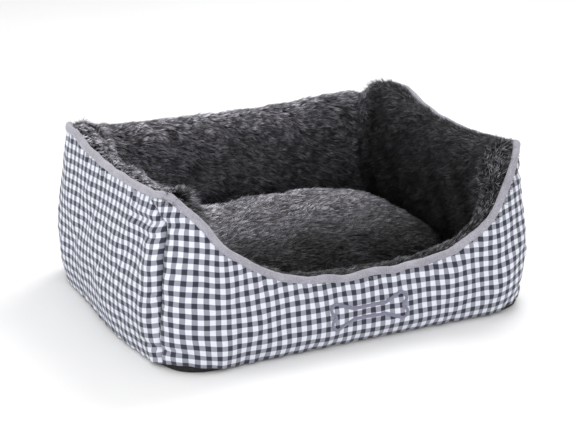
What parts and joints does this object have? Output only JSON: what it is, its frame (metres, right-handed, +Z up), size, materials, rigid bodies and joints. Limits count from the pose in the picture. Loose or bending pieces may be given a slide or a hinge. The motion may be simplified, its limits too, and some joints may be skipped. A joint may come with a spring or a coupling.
{
  "type": "pet cushion bed",
  "caption": "Rectangular pet sofa with padded gingham walls dipping low at the front, corded rim, long-pile lining and a loose zipped cushion.",
  "frame": {"origin": "middle of the underside, on the floor", "axes": "+Z up, the low entrance faces -Y, +X along the longer side"},
  "size_m": [0.6, 0.502, 0.2535],
  "materials": {
    "gingham": "woven check, white and dark slate",
    "dark_fur": "long pile, pale tips",
    "cushion_fur": "long pile, pale tips",
    "piping": "brushed",
    "cord": "twisted cotton",
    "fibre_filling": "loose polyester fibre",
    "foam_pad": "firm felted pad",
    "non_slip_cloth": "coated, matte",
    "floor_cloth": "plain weave",
    "thread": "satin stitch",
    "zip_tape": "woven tape and moulded coil",
    "zip_metal": "gunmetal"
  },
  "bodies": {
    "shell": {"outer_panel_front": "gingham", "wall_filling_front": "fibre_filling", "lining_front": "dark_fur", "outer_panel_right": "gingham", "wall_filling_right": "fibre_filling", "lining_right": "dark_fur", "outer_panel_back": "gingham", "wall_filling_back": "fibre_filling", "lining_back": "dark_fur", "outer_panel_left": "gingham", "wall_filling_left": "fibre_filling", "lining_left": "dark_fur", "piping_cover": "piping", "piping_cord": "cord", "base_panel": "non_slip_cloth", "base_pad": "foam_pad", "base_lining": "floor_cloth", "stitched_motif": "thread"},
    "cushion": {"cushion_cover_top": "cushion_fur", "cushion_cover_bottom": "floor_cloth", "cushion_filling": "fibre_filling", "zip_tape_upper": "zip_tape", "zip_tape_lower": "zip_tape", "zip_stop_left": "zip_metal", "zip_stop_right": "zip_metal", "zip_coil": "zip_tape"},
    "zip_slider_body": {"zip_slider": "zip_metal"},
    "zip_pull_body": {"zip_pull_tab": "zip_metal"}
  },
  "joints": [
    {"name": "cushion_lift", "type": "slide", "parent": "shell", "child": "cushion", "axis": [0, 0, 1], "range_m": [0, 0.26]},
    {"name": "zip_slide", "type": "slide", "parent": "cushion", "child": "zip_slider_body", "axis": [1, 0, 0], "range_m": [0, 0.236]},
    {"name": "zip_pull", "type": "hinge", "parent": "zip_slider_body", "child": "zip_pull_body", "pos_m": [-0.1184, 0.1813, 0.046], "axis": [0, 0, 1], "range_deg": [0, 12]}
  ]
}
